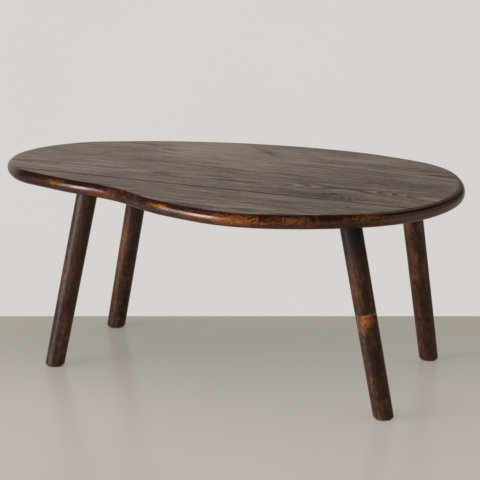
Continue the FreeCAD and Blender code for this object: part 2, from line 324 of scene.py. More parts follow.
# The roughness and the sheen of the face, where the stain is darkest and where it is palest, and of the edge
FACE_ROUGHNESS = (0.38, 0.33)
EDGE_ROUGHNESS = 0.12
FACE_SHEEN = (0.36, 0.52)
DULL_SHEEN = 0.44
EDGE_SHEEN = (0.25, 0.65)  # low on the edge, and above that
GRAIN_STRENGTH = 0.25
GRAIN_DEPTH = 0.00025
# Where shade is painted into the edge, with how far each place reaches: round the left end, low in the
# hollow, and along the line of the right end
PAINTED_EDGE_SHADE = [
    ((-0.390, -0.160, TOP_HIGH - 0.014), (0.14, 0.11, 0.03)),
    ((-0.070, -0.262, TOP_HIGH - 0.020), (0.090, 0.08, 0.018)),
    ((0.470, -0.110, TOP_HIGH - 0.004), (0.14, 0.22, 0.012)),
]
# Where the right end is painted greyer, as a reflection of the pale surround, on its edge and on the face
# next to it
SHEEN_GREY_EDGE = ((0.52, 0.00, TOP_HIGH - 0.017), (0.22, 0.36, 0.20))
SHEEN_GREY_FACE = ((0.50, -0.06, TOP_HIGH - 0.007), (0.26, 0.30, 0.20))
# Heights on the edge, each as a pair between which the finish changes
SHADED_BAND_ENDS = (TOP_HIGH - 0.004, TOP_HIGH - 0.012)
SHEEN_GREY_STARTS = (TOP_HIGH - 0.0045, TOP_HIGH - 0.0075)
SHEEN_GREY_FADES = (TOP_LOW, TOP_LOW + 0.016)
SHEEN_ENDS = (TOP_LOW + 0.006, TOP_LOW + 0.016)
UNDERSIDE_STARTS = (TOP_LOW + 0.0012, TOP_LOW + 0.0002)


def rim_line():
    """Evenly spaced points round the widest line of the edge, with the way out of the table at each."""
    middle = (TOP_LOW + TOP_HIGH) / 2
    found = {
        (round(vertex.co.x, 5), round(vertex.co.y, 5))
        for node in BOARD_NODES
        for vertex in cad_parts[node].data.vertices
        if abs(vertex.co.z - middle) < RIM_BAND
    }
    corners = np.array(sorted(found, key=lambda spot: math.atan2(spot[1], spot[0])))
    closed = np.vstack([corners, corners[:1]])
    along = np.concatenate([[0], np.cumsum(np.linalg.norm(np.diff(closed, axis=0), axis=1))])
    even = np.arange(RIM_POINTS) * along[-1] / RIM_POINTS
    line = np.array([np.interp(even, along, closed[:, axis]) for axis in (0, 1)])
    waves = np.fft.fftfreq(RIM_POINTS, along[-1] / RIM_POINTS) * 2 * math.pi
    easing = (waves * RIM_EASE) ** 2 / 2
    line = np.fft.ifft(np.fft.fft(line, axis=1) * (1 + easing) * np.exp(-easing), axis=1).real
    step = np.roll(line, -1, 1) - np.roll(line, 1, 1)
    outward = np.array([step[1], -step[0]]) / np.linalg.norm(step, axis=0)
    return line.T, outward.T, even


def edge_profile():
    """The section of the edge from the underside up: inset, height and how far it is turned over."""
    radius = (TOP_HIGH - TOP_LOW - RIM_BAND) / 2
    lower = []
    for step in range(ROUNDING_STEPS + 1):
        turn = math.radians(90 * step / ROUNDING_STEPS)
        inset = radius * (1 - math.sin(turn))
        lower.append((inset, TOP_LOW + radius * (1 - math.cos(turn)), math.sin(turn)))
    upper = [(inset, TOP_LOW + TOP_HIGH - height, turned) for inset, height, turned in reversed(lower)]
    rest = radius * FLAT_REST
    return [(rest, TOP_LOW, 0.0), *lower, *upper, (rest, TOP_HIGH, 0.0)]


def whole_top():
    """The glued top as one closed mesh, with how far each point is turned over the edge."""
    line, outward, along = rim_line()
    turn = along / along[-1] * 2 * math.pi
    waves = [share * (1 + np.sin(count * turn + start)) for count, start, share in EDGE_WAVES]
    waver = EDGE_WAVER * sum(waves) / 2
    made = bmesh.new()
    edge_layer = made.verts.layers.float.new("edge")
    rings = []
    for inset, height, turned in edge_profile():
        spots = line - outward * (inset + waver * turned)[:, None]
        ring = [made.verts.new((x, y, height)) for x, y in spots]
        for vertex in ring:
            vertex[edge_layer] = turned
        rings.append(ring)
    for lower, upper in zip(rings, rings[1:]):
        for start in range(RIM_POINTS):
            end = (start + 1) % RIM_POINTS
            made.faces.new((lower[start], lower[end], upper[end], upper[start]))
    made.faces.new(rings[-1])
    made.faces.new(rings[0][::-1])
    return made


def sawn_board(whole, node):
    """One board: the whole top cut at its glue joints, with the corners of each joint just broken."""
    board = whole.copy()
    low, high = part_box(node)
    for joint, way, outer in ((low.y, -1, node == BOARD_NODES[0]), (high.y, 1, node == BOARD_NODES[-1])):
        if outer:
            continue
        parts = board.verts[:] + board.edges[:] + board.faces[:]
        plane = {"plane_co": (0, joint, 0), "plane_no": (0, way, 0)}
        cut = bmesh.ops.bisect_plane(board, geom=parts, dist=JOINT_TOLERANCE, clear_outer=True, **plane)
        rim = [part for part in cut["geom_cut"] if isinstance(part, bmesh.types.BMEdge)]
        bmesh.ops.edgeloop_fill(board, edges=rim)
        bmesh.ops.bevel(board, geom=rim, offset=JOINT_BEVEL, segments=1, affect="EDGES")
    bmesh.ops.recalc_face_normals(board, faces=board.faces)
    return board


def soft_spot(wiring, place, centre, reach, turn=0.0):
    """A mask that is one at the centre and fades to nothing at its reach, turned about the upright."""
    moved = wiring.add("ShaderNodeMapping", place, centre, (0, 0, turn), reach, vector_type="TEXTURE")
    return wiring.add("ShaderNodeTexGradient", moved, out="Fac", gradient_type="SPHERICAL")


def ring_wood(wiring, place, heart, drift, ring_width, shift, swirls=()):
    """The grain of one piece, which runs along X: how dark the wood of each ring is, its broad streaks, its
    fibres and its pores. The heart line of the tree passes beside the piece, and the rings run round it."""
    own = wiring.vector("ADD", place, shift)
    sway = wiring.stretched_noise(own, (2.2, 9.0, 9.0), 3.0, out="Color")
    sway = wiring.scaled(sway, (0.0, 0.024, 0.024), (0.0, -0.012, -0.012))
    swayed = wiring.vector("ADD", place, sway)
    x = wiring.parts(swayed)[0]
    beside = [wiring.weighed(start, (x, slope)) for start, slope in zip(heart, drift)]
    heart_line = wiring.joined(x, *beside)
    ring = wiring.vector("DISTANCE", swayed, heart_line, out="Value")
    bulges = [(soft_spot(wiring, place, centre, reach), bulge) for centre, reach, bulge in swirls]
    count = wiring.maths("DIVIDE", wiring.weighed(ring, *bulges), ring_width)
    uneven = wiring.add("ShaderNodeTexNoise", None, count, 0.35, 1.0, noise_dimensions="1D")
    into = wiring.maths("FRACT", wiring.weighed(count, (uneven, 2.0)))
    late = wiring.times(wiring.span(into, 0.25, 0.92), wiring.span(into, 1.0, 0.93))
    own = wiring.vector("ADD", swayed, shift)
    pores = wiring.stretched_noise(own, (70.0, 1500.0, 1500.0), 1.0)
    return {
        "late": late,
        "streaks": wiring.stretched_noise(own, (11.0, 95.0, 95.0), 4.0, 0.65),
        "fibre": wiring.stretched_noise(own, (16.0, 520.0, 520.0), 3.0, 0.6),
        "pores": wiring.span(pores, 0.60, 0.70),
    }


def coat(wiring, inputs, height=None, strength=0.0, depth=0.0):
    """Ends a material in one surface with these inputs, and with bumps where it has a height."""
    surface = wiring.tree.nodes.new("ShaderNodeBsdfPrincipled")
    for label, value in inputs.items():
        wiring.feed(surface.inputs[label], value)
    if height is not None:
        bump = wiring.tree.nodes.new("ShaderNodeBump")
        for label, value in (("Strength", strength), ("Distance", depth), ("Height", height)):
            wiring.feed(bump.inputs[label], value)
        wiring.feed(surface.inputs["Normal"], bump.outputs[0])
    wiring.end("ShaderNodeOutputMaterial", surface.outputs[0])


def face_tone(wiring, place, own, grain, torn, swirls, stains):
    """How pale the stain dried on a face: 0 or less where it is darkest, and 1.4 or more where it is palest.
    The rings show more where they curl, and each stain has a torn outline."""
    strands = wiring.stretched_noise(own, (105.0, 190.0, 190.0), 4.0, 0.7)
    tone = wiring.weighed(
        -1.86,
        (grain["patches"], 1.0),
        (grain["streaks"], 1.85),
        (strands, 1.65),
        (grain["fibre"], 0.9),
        (grain["late"], -0.65),
    )
    for centre, reach, _ in swirls:
        curl = wiring.times(soft_spot(wiring, place, centre, reach), grain["late"])
        tone = wiring.weighed(tone, (curl, -0.45))
    ragged = wiring.vector("ADD", place, wiring.scaled(torn, (0.06, 0.024, 0.0), (-0.03, -0.012, 0.0)))
    for centre, reach, turn, depth in stains:
        tone = wiring.weighed(tone, (soft_spot(wiring, ragged, centre, reach, turn), depth))
    return tone


def face_stain(wiring, own, tone):
    """The colours of a face: dark, middling and pale stain, fine dark checks, and a grey haze in places."""
    shade = wiring.mix(wiring.span(tone, 0.0, 0.5, smooth=False), DARK_STAIN, MID_STAIN)
    shade = wiring.mix(wiring.span(tone, 0.5, 1.4, smooth=False), shade, PALE_STAIN)
    checks = wiring.stretched_noise(own, (8.0, 230.0, 230.0), 2.0)
    shade = wiring.mix(wiring.span(checks, 0.60, 0.70, 0.0, 0.6), shade, DARK_STAIN)
    haze = wiring.stretched_noise(own, (6.0, 26.0, 26.0), 3.0, 0.6, (4.0, 2.0, 1.0))
    return wiring.mix(wiring.span(haze, 0.45, 0.65, 0.0, 0.40), shade, GREY_HAZE)


def knots_of(wiring, place, torn, knots):
    """Where a board has its knots, each with a crooked outline."""
    crooked = wiring.vector("ADD", place, wiring.scaled(torn, (0.012, 0.010, 0.0), (-0.006, -0.005, 0.0)))
    knotty = 0.0
    for centre, reach in knots:
        spot = wiring.span(soft_spot(wiring, crooked, centre, reach), 0.10, 0.60, 0.0, 0.85)
        knotty = wiring.maths("MAXIMUM", spot, knotty)
    return knotty


def joint_grime(wiring, place, own, joints):
    """The dirt in the glue joints beside a board, now thicker and now thinner."""
    across = wiring.parts(place)[1]
    dirt = wiring.stretched_noise(own, (22.0, 0.0, 0.0), 3.0)
    dirt = wiring.span(dirt, 0.30, 0.52, 0.25, 1.0)
    grime = 0.0
    for joint, strength in joints:
        from_joint = wiring.maths("ABSOLUTE", wiring.less(across, joint))
        line = wiring.span(from_joint, *DIRT_REACH, 0.0, strength)
        grime = wiring.maths("MAXIMUM", wiring.times(line, dirt), grime)
    return grime


def edge_stain(wiring, place, own, grain, worn):
    """The colours of the edge: brushed stain between black and dark brown, with painted shade along the top
    of the rounding and at a few places, greyed at the right end by a painted reflection, and rubbed back to
    specks of amber and gold at the worn places."""
    upright = wiring.parts(place)[2]
    brush = wiring.stretched_noise(own, (110.0, 110.0, 280.0), 5.0, 0.75)
    # Painted shade: the top of the rounding is darker than lower down, for the dark band that the dim
    # overhead leaves in it
    tone = wiring.span(upright, *SHADED_BAND_ENDS, -0.15, 0.02)
    tone = wiring.weighed(tone, (grain["streaks"], 0.8), (grain["patches"], 0.8), (brush, 1.2))
    # Painted shade, darker at each of these places
    for centre, reach in PAINTED_EDGE_SHADE:
        tone = wiring.weighed(tone, (soft_spot(wiring, place, centre, reach), -0.38))
    shade = wiring.mix(wiring.span(tone, 1.20, 1.62), EDGE_BLACK, EDGE_STAIN)
    # Painted reflection: the right end of the edge greyed below its dark line, less towards the underside
    greyed = wiring.span(soft_spot(wiring, place, *SHEEN_GREY_EDGE), 0.15, 0.5, 0.0, 0.8)
    greyed = wiring.times(greyed, wiring.span(upright, *SHEEN_GREY_STARTS))
    greyed = wiring.times(greyed, wiring.span(upright, *SHEEN_GREY_FADES, 0.2, 1.0))
    shade = wiring.mix(greyed, shade, PAINTED_SHEEN_GREY)
    flecks = wiring.stretched_noise(own, (420.0, 420.0, 260.0), 3.0, 0.7)
    flecks = wiring.weighed(0.0, (flecks, 2.4), (brush, 1.5))
    grit = wiring.stretched_noise(own, (250.0, 250.0, 200.0), 2.0, 0.6, (2.0, 5.0, 3.0))
    bare = wiring.mix(wiring.span(grit, 0.48, 0.62, 0.0, 0.9), AMBER, GOLD)
    for centre, reach, strength in worn:
        spot = soft_spot(wiring, place, centre, reach)
        rubbed = wiring.span(wiring.maths("ADD", flecks, spot), 2.25, 2.75, 0.0, strength)
        rubbed = wiring.times(rubbed, wiring.span(spot, 0.0, 0.30))
        shade = wiring.mix(rubbed, shade, bare)
    return shade


def board_wood(name, joints, heart, drift, shift, swirls=(), stains=(), knots=(), worn=(), nicks=()):
    """The finish of one board: its stained face, with knots and with dirt in its joints, which gives way to
    the darker, glossier edge. At the right end a painted reflection greys the edge and evens out the face
    beside it, the underside is brown, and all of it is waxed."""
    material, wiring = new_material(name)
    place = wiring.add("ShaderNodeTexCoord", out="Object")
    own = wiring.vector("ADD", place, shift)
    grain = ring_wood(wiring, place, heart, drift, BOARD_RING, shift, swirls)
    grain["patches"] = wiring.stretched_noise(own, (5.0, 13.0, 13.0), 3.0, 0.6)
    torn = wiring.stretched_noise(own, (14.0, 60.0, 60.0), 3.0, out="Color")
    tone = face_tone(wiring, place, own, grain, torn, swirls, stains)
    knotty = knots_of(wiring, place, torn, knots)
    grime = joint_grime(wiring, place, own, joints)
    upright = wiring.parts(place)[2]
    edge = wiring.add("ShaderNodeAttribute", attribute_name="edge", out="Fac")
    far_end = wiring.span(soft_spot(wiring, place, *SHEEN_GREY_FACE), 0.0, 0.45)
    over_edge = wiring.span(wiring.weighed(edge, (far_end, -0.38)), 0.10, 0.24)
    calm = wiring.times(far_end, wiring.span(edge, 0.0, 0.15, 0.0, 0.75))
    beneath = wiring.span(upright, *UNDERSIDE_STARTS)

    shade = wiring.mix(knotty, face_stain(wiring, own, tone), PORE_BLACK)
    shade = wiring.mix(grime, shade, PORE_BLACK)
    # Painted reflection: the face beside the right end evened out towards the same grey
    shade = wiring.mix(calm, shade, PAINTED_SHEEN_GREY)
    shade = wiring.mix(over_edge, shade, edge_stain(wiring, place, own, grain, worn))
    open_pores = wiring.times(grain["pores"], wiring.span(edge, 0.02, 0.30, 0.6, 0.2))
    shade = wiring.mix(open_pores, shade, PORE_BLACK)
    for centre, reach in nicks:
        nick = wiring.span(soft_spot(wiring, place, centre, (reach,) * 3), 0.1, 0.6, 0.0, 0.8)
        shade = wiring.mix(nick, shade, BARE_WOOD)
    shade = wiring.mix(wiring.times(beneath, 0.6), shade, UNDER_BROWN)

    roughness = wiring.weighed(wiring.span(tone, 0.0, 1.0, *FACE_ROUGHNESS), (grime, 0.3))
    roughness = wiring.fade(over_edge, roughness, EDGE_ROUGHNESS)
    roughness = wiring.weighed(roughness, (grain["fibre"], 0.06), (beneath, 0.30))
    filled = wiring.less(1.0, wiring.maths("MAXIMUM", knotty, grime))
    sheen = wiring.times(wiring.span(tone, 0.0, 1.0, *FACE_SHEEN), filled)
    sheen = wiring.fade(calm, sheen, DULL_SHEEN)
    sheen = wiring.fade(over_edge, sheen, wiring.span(upright, *SHEEN_ENDS, *EDGE_SHEEN))
    height = wiring.weighed(0.0, (grain["late"], 0.15), (grain["fibre"], 0.5), (grain["pores"], -0.6))
    height = wiring.times(height, wiring.span(edge, 0.02, 0.30, 1.0, 0.15))
    inputs = {
        "Base Color": shade,
        "Roughness": roughness,
        "Specular IOR Level": sheen,
        "Specular Tint": AMBER_WAX,
    }
    coat(wiring, inputs, height, GRAIN_STRENGTH, GRAIN_DEPTH)
    return material


# How dirty the joint along each board's front and back edge is
JOINT_DIRT = {
    "top_board_front": (0.0, 0.9),
    "top_board_front_middle": (0.9, 0.18),
    "top_board_back_middle": (0.18, 0.1),
    "top_board_back": (0.1, 0.0),
}
TAN_PATCH = ((-0.110, 0.200, TOP_HIGH), (0.27, 0.16, 0.1), 0.0, 0.95)
KNOT_FLAME = ((-0.014, 0.226, TOP_HIGH), (0.085, 0.018, 0.1), math.radians(-38), -0.95)
PALE_LEFT = ((-0.400, 0.000, TOP_HIGH), (0.36, 0.30, 0.1), 0.0, 0.30)
DARK_RIGHT = ((0.330, 0.040, TOP_HIGH), (0.28, 0.26, 0.1), 0.0, -0.12)
# Each board's figure. The heart is where its tree's heart line lies in Y and Z, and the drift how far that
# line runs out in a metre. A swirl, a knot, a stain, a worn place and a nick are each a centre and a reach;
# then come a swirl's bulge of the rings, a stain's turn and depth, and a worn place's strength.
BOARD_GRAIN = {
    "top_board_front": {
        "heart": (-0.30, 0.30),
        "drift": (0.02, 0.01),
        "shift": (3.1, 0.4, 0.7),
        "swirls": [((0.342, -0.179, TOP_HIGH), (0.05, 0.02, 0.1), 0.010)],
        "knots": [((0.342, -0.179, TOP_HIGH), (0.008, 0.008, 0.1))],
        "worn": [
            ((-0.286, -0.195, TOP_HIGH - 0.010), (0.020, 0.03, 0.008), 0.42),
            ((-0.280, -0.197, TOP_HIGH - 0.008), (0.050, 0.03, 0.010), 0.28),
            ((-0.134, -0.231, TOP_HIGH - 0.005), (0.034, 0.03, 0.006), 0.12),
            ((0.010, -0.298, TOP_HIGH - 0.0073), (0.052, 0.04, 0.0056), 0.90),
            ((0.178, -0.319, TOP_HIGH - 0.012), (0.085, 0.05, 0.014), 0.60),
            ((0.285, -0.292, TOP_HIGH - 0.008), (0.040, 0.04, 0.008), 0.38),
            ((0.398, -0.219, TOP_HIGH - 0.007), (0.062, 0.05, 0.007), 0.36),
        ],
        "nicks": [
            ((0.266, -0.298, TOP_HIGH - 0.0035), 0.0030),
            ((0.300, -0.281, TOP_HIGH - 0.0035), 0.0020),
        ],
    },
    "top_board_front_middle": {
        "heart": (-0.06, 0.36),
        "drift": (0.03, 0.03),
        "shift": (7.7, 1.9, 0.2),
        "swirls": [
            ((0.273, -0.097, TOP_HIGH), (0.08, 0.035, 0.1), 0.020),
            ((0.288, -0.092, TOP_HIGH), (0.155, 0.090, 0.1), 0.036),
        ],
        "stains": [
            PALE_LEFT,
            DARK_RIGHT,
            ((0.250, -0.112, TOP_HIGH), (0.20, 0.036, 0.1), 0.0, -0.55),
            ((0.030, 0.000, TOP_HIGH), (0.24, 0.016, 0.1), 0.0, -0.30),
            ((-0.118, 0.024, TOP_HIGH), (0.055, 0.008, 0.1), 0.0, 0.60),
        ],
        "knots": [
            ((0.271, -0.088, TOP_HIGH), (0.012, 0.013, 0.1)),
            ((0.257, -0.094, TOP_HIGH), (0.006, 0.008, 0.1)),
        ],
    },
    "top_board_back_middle": {
        "heart": (0.16, 0.33),
        "drift": (-0.02, 0.02),
        "shift": (1.3, 5.2, 4.4),
        "stains": [
            TAN_PATCH,
            KNOT_FLAME,
            PALE_LEFT,
            DARK_RIGHT,
            ((-0.257, 0.037, TOP_HIGH), (0.026, 0.010, 0.1), 0.0, 0.70),
            ((-0.020, 0.075, TOP_HIGH), (0.13, 0.055, 0.1), 0.0, 0.50),
            ((-0.270, 0.150, TOP_HIGH), (0.12, 0.080, 0.1), 0.0, -0.35),
        ],
    },
    "top_board_back": {
        "heart": (0.40, 0.31),
        "drift": (-0.03, 0.01),
        "shift": (9.2, 2.5, 6.1),
        "stains": [TAN_PATCH, KNOT_FLAME, ((0.220, 0.240, TOP_HIGH), (0.16, 0.060, 0.1), 0.0, 0.35)],
    },
}


def finished_mesh(made, name, material):
    """Turns a bmesh into a piece with smooth faces and crisp corners."""
    mesh = bpy.data.meshes.new(name)
    made.to_mesh(mesh)
    made.free()
    mesh.shade_smooth()
    mesh.set_sharp_from_angle(angle=BOARD_CRISP)
    mesh.materials.append(material)
    piece = bpy.data.objects.new(name, mesh)
    bpy.context.scene.collection.objects.link(piece)
    return piece


whole = whole_top()
for node in BOARD_NODES:
    name = node.replace("top_board_", "") + "_board"
    low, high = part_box(node)
    joints = [(low.y, JOINT_DIRT[node][0]), (high.y, JOINT_DIRT[node][1])]
    wood = board_wood(name + "_wood", joints, **BOARD_GRAIN[node])
    board = finished_mesh(sawn_board(whole, node), name, wood)
    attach(board, "root")
    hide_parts(node)
whole.free()

# The legs: turned from the same dark stained hardwood, with a slight taper and softly rounded ends. Each
# leans outwards in its own direction, and its foot is cut level with the floor.
LEG_NAMES = ["front_left", "back_left", "front_right", "back_right"]
SEAT_DEPTH = 0.00882  # from the underside of the top down to the middle of a leg's upper end
LEG_TOP_RADIUS = 0.021
LEG_FOOT_RADIUS = 0.0195
LEG_TOP_EASE = 0.0012
LEG_FOOT_EASE = 0.0025
TURNING_STEPS = 96
TURNING_SIDES = 64
TURNED_CRISP = math.radians(40)
SANDING_WAVER = 0.00012
SANDING_WAVES = (60.0, 60.0, 14.0)  # in a metre, round the piece and along it
LEVEL_CUT = (0.030, 0.004)  # above the lower end, where the slant of its level cut starts and is whole
TURNED_INPUTS = {
    "Length": "NodeSocketFloat",
    "Top radius": "NodeSocketFloat",
    "Foot radius": "NodeSocketFloat",
    "Top ease": "NodeSocketFloat",
    "Foot ease": "NodeSocketFloat",
    "Splay": "NodeSocketFloat",
    "Heading": "NodeSocketFloat",
    "Seat": "NodeSocketVector",
    "Unevenness": "NodeSocketFloat",
    "Seed": "NodeSocketFloat",
    "Finish": "NodeSocketMaterial",
}
LEG_DARK = paint(34, 17, 9)
LEG_BROWN = paint(60, 33, 18)
LEG_PALE = paint(92, 60, 40)
LEG_AMBER = paint(118, 70, 34)
LEG_OCHRE = paint(152, 94, 42)
LEG_SHEEN_RUSSET = paint(134, 80, 62)
LEG_SHADE_BLACK = paint(26, 20, 17)
LEG_HEART = (0.045, 0.030)
LEG_DRIFT = (0.03, 0.02)
LEG_RING = 0.0042
LEG_SHADE_SPAN = (-0.11, -0.02)  # along the leg, where the painted shade under the top starts and where it is darkest
LEG_ROUGHNESS = 0.23
LEG_SHEEN = 0.26


def node_tree(name, inputs):
    """An empty Geometry Nodes tree: the tree, its wiring and its named inputs."""
    tree = bpy.data.node_groups.new(name, "GeometryNodeTree")
    tree.interface.new_socket("Piece", in_out="OUTPUT", socket_type="NodeSocketGeometry")
    for label, kind in inputs.items():
        tree.interface.new_socket(label, in_out="INPUT", socket_type=kind)
    given = tree.nodes.new("NodeGroupInput").outputs
    return tree, Wiring(tree), {socket.name: socket for socket in given}


def turned_blank(wiring, length, way, radius, steps, sides):
    """A round bar along Z from the origin, its steps bunched at both ends, with its own radius all along."""
    axis = wiring.add("GeometryNodeCurvePrimitiveLine", (0, 0, 0), (0, 0, way))
    axis = wiring.add("GeometryNodeResampleCurve", axis, None, steps)
    share = wiring.add("GeometryNodeSplineParameter", out="Factor")
    wave = wiring.maths("COSINE", wiring.times(share, math.pi))
    reached = wiring.times(wiring.maths("MULTIPLY_ADD", wave, -0.5, 0.5), length)
    spot = wiring.joined(0.0, 0.0, wiring.times(reached, way))
    axis = wiring.add("GeometryNodeSetPosition", axis, None, spot)
    circle = wiring.add("GeometryNodeCurvePrimitiveCircle", sides, None, None, None, 1.0)
    return wiring.add("GeometryNodeCurveToMesh", axis, circle, radius, True)


def eased_end(wiring, distance, ease):
    """How much is rounded off at this distance from an end."""
    into = wiring.maths("MAXIMUM", wiring.less(ease, distance), 0.0)
    left = wiring.times(into, into)
    left = wiring.less(wiring.times(ease, ease), left)
    return wiring.less(ease, wiring.maths("SQRT", wiring.maths("MAXIMUM", left, 0.0)))


def rotation(wiring, *angles):
    """A rotation by these angles about X, Y and Z."""
    return wiring.add("FunctionNodeEulerToRotation", wiring.joined(*angles))


def turned_tree():
    """A turned piece that hangs down from its seat, with an uneven hand-sanded surface."""
    tree, wiring, given = node_tree("turned_piece", TURNED_INPUTS)
    place = wiring.add("GeometryNodeInputPosition")
    across, _, down = wiring.parts(place)
    reached = wiring.maths("ABSOLUTE", down)
    left = wiring.less(given["Length"], reached)
    taper = wiring.less(given["Foot radius"], given["Top radius"])
    share = wiring.maths("DIVIDE", reached, given["Length"])
    radius = wiring.maths("MULTIPLY_ADD", taper, share, given["Top radius"])
    radius = wiring.less(radius, eased_end(wiring, reached, given["Top ease"]))
    radius = wiring.less(radius, eased_end(wiring, left, given["Foot ease"]))
    blank = turned_blank(wiring, given["Length"], -1, radius, TURNING_STEPS, TURNING_SIDES)
    store = "GeometryNodeStoreNamedAttribute"
    blank = wiring.add(store, blank, None, "grain", place, data_type="FLOAT_VECTOR")
    seeded = wiring.joined(given["Seed"], given["Seed"], 0.0)
    sanded = wiring.stretched_noise(place, SANDING_WAVES, 2.0, shift=seeded)
    sanded = wiring.times(wiring.less(sanded, 0.5), given["Unevenness"])
    outwards = wiring.vector("SCALE", wiring.add("GeometryNodeInputNormal"), None, None, sanded)
    rise = wiring.times(across, wiring.maths("TANGENT", given["Splay"]))
    drop = wiring.times(wiring.times(rise, wiring.span(left, *LEVEL_CUT)), -1)
    level = wiring.joined(0.0, 0.0, drop)
    shaped = wiring.add("GeometryNodeSetPosition", blank, None, None, wiring.vector("ADD", outwards, level))
    tilt = wiring.times(given["Splay"], -1)
    lean = rotation(wiring, 0.0, tilt, given["Heading"])
    seated = wiring.add("GeometryNodeTransform", shaped, given["Seat"], lean)
    single = wiring.add("GeometryNodeRealizeInstances", seated)
    wiring.end("NodeGroupOutput", wiring.add("GeometryNodeSetMaterial", single, None, given["Finish"]))
    return tree


def made_by(tree, name, values):
    """What a Geometry Nodes tree makes from these values, as a plain mesh piece."""
    piece = bpy.data.objects.new(name, bpy.data.meshes.new(name + "_blank"))
    bpy.context.scene.collection.objects.link(piece)
    shaping = piece.modifiers.new("shaping", "NODES")
    shaping.node_group = tree
    for socket in tree.interface.items_tree:
        if socket.in_out == "INPUT":
            shaping[socket.identifier] = values[socket.name]
    shaped = piece.evaluated_get(bpy.context.evaluated_depsgraph_get())
    mesh = bpy.data.meshes.new_from_object(shaped)
    mesh.name = name
    piece.modifiers.remove(shaping)
    piece.data = mesh
    mesh.shade_smooth()
    mesh.set_sharp_from_angle(angle=TURNED_CRISP)
    return piece


def leg_wood(name, shift, painted_shade, marks):
    """The finish of one leg: dark stain, mottled along the grain, with faint rings from the turning. It is
    painted darker under the top, as shade, and has worn and stained marks and painted reflections."""
    material, wiring = new_material(name)
    x, y, z = wiring.parts(wiring.add("ShaderNodeAttribute", attribute_name="grain", out="Vector"))
    place = wiring.joined(z, x, y)
    own = wiring.vector("ADD", place, shift)
    grain = ring_wood(wiring, place, LEG_HEART, LEG_DRIFT, LEG_RING, shift)
    mottle = wiring.stretched_noise(own, (80.0, 110.0, 110.0), 3.0, 0.65)
    patches = wiring.stretched_noise(own, (9.0, 24.0, 24.0), 3.0, 0.6)
    tone = wiring.weighed(
        -2.84,
        (patches, 1.8),
        (grain["streaks"], 1.4),
        (mottle, 2.4),
        (grain["fibre"], 0.9),
        (grain["late"], -0.25),
    )
    shade = wiring.mix(wiring.span(tone, 0.0, 0.5, smooth=False), LEG_DARK, LEG_BROWN)
    shade = wiring.mix(wiring.span(tone, 0.5, 1.1, smooth=False), shade, LEG_PALE)
    # Painted shade: the upper end grows darker under the top
    shade = wiring.mix(wiring.span(z, *LEG_SHADE_SPAN, 0.0, painted_shade), shade, LEG_SHADE_BLACK)
    brush = wiring.stretched_noise(own, (90.0, 260.0, 260.0), 5.0, 0.75)
    for centre, reach, strength, colour in marks:
        spot = soft_spot(wiring, place, centre, reach)
        covered = wiring.span(wiring.weighed(spot, (brush, 2.6)), 1.50, 2.30, 0.0, strength)
        covered = wiring.times(covered, wiring.span(spot, 0.0, 0.30))
        shade = wiring.mix(covered, shade, colour)
    shade = wiring.mix(wiring.times(grain["pores"], 0.6), shade, PORE_BLACK)
    rings = wiring.stretched_noise(own, (300.0, 36.0, 36.0), 4.0, 0.7)
    inputs = {
        "Base Color": wiring.mix(wiring.span(rings, 0.52, 0.66, 0.0, 0.65), shade, LEG_DARK),
        "Roughness": wiring.weighed(LEG_ROUGHNESS, (mottle, 0.10), (grain["fibre"], 0.14)),
        "Specular IOR Level": LEG_SHEEN,
    }
    height = wiring.weighed(0.0, (grain["fibre"], 0.6), (grain["pores"], -0.6), (rings, -1.0))
    coat(wiring, inputs, height, GRAIN_STRENGTH, GRAIN_DEPTH)
    return material


def on_leg(heading, depth, bearing):
    """A spot on a leg's surface, as its grain sees it: this far down and facing this way."""
    facing = math.radians(bearing) - heading
    return (-depth, LEG_TOP_RADIUS * math.cos(facing), LEG_TOP_RADIUS * math.sin(facing))


# Each leg's worn and stained marks, and painted reflections: depth below the seat, bearing, reach, strength
# and colour
LEG_MARKS = {
    "front_left": [(0.10, 290, (0.10, 0.03, 0.03), 0.35, LEG_PALE)],
    "back_left": [(0.17, 258, (0.090, 0.024, 0.024), 0.60, LEG_AMBER)],
    "front_right": [
        (0.11, 275, (0.080, 0.014, 0.014), 0.30, LEG_AMBER),
        (0.1950, 255, (0.030, 0.026, 0.026), 0.75, LEG_AMBER),
        (0.1850, 290, (0.018, 0.030, 0.030), 0.75, LEG_OCHRE),
        (0.1760, 285, (0.006, 0.050, 0.050), 0.85, LEG_OCHRE),
    ],
    "back_right": [
        (0.15, 272, (0.090, 0.018, 0.018), 0.45, LEG_AMBER),
        # Painted reflections: lighter russet down both flanks of the upper end, where the glossy sides catch
        # the light
        (0.05, 250, (0.075, 0.022, 0.022), 0.85, LEG_SHEEN_RUSSET),
        (0.05, 345, (0.075, 0.020, 0.020), 0.85, LEG_SHEEN_RUSSET),
    ],
}
# How strongly each leg's upper end is painted darker, as shade under the top
LEG_PAINTED_SHADE = {"front_left": 0.25, "back_left": 0.55, "front_right": 0.95, "back_right": 0.15}


def middle_of(node):
    """The middle of a node's box."""
    low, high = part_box(node)
    return (low + high) / 2


def leg_stance(name):
    """Where a leg's upper end sits, and its length, splay and heading, from its plate and its pad."""
    plate, pad = middle_of("leg_plate_" + name), middle_of("felt_pad_" + name)
    seat = Vector((plate.x, plate.y, TOP_LOW - SEAT_DEPTH))
    reach = Vector((pad.x, pad.y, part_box("felt_pad_" + name)[1].z)) - seat
    splay = math.atan2(math.hypot(reach.x, reach.y), -reach.z)
    return seat, reach.length, splay, math.atan2(reach.y, reach.x)


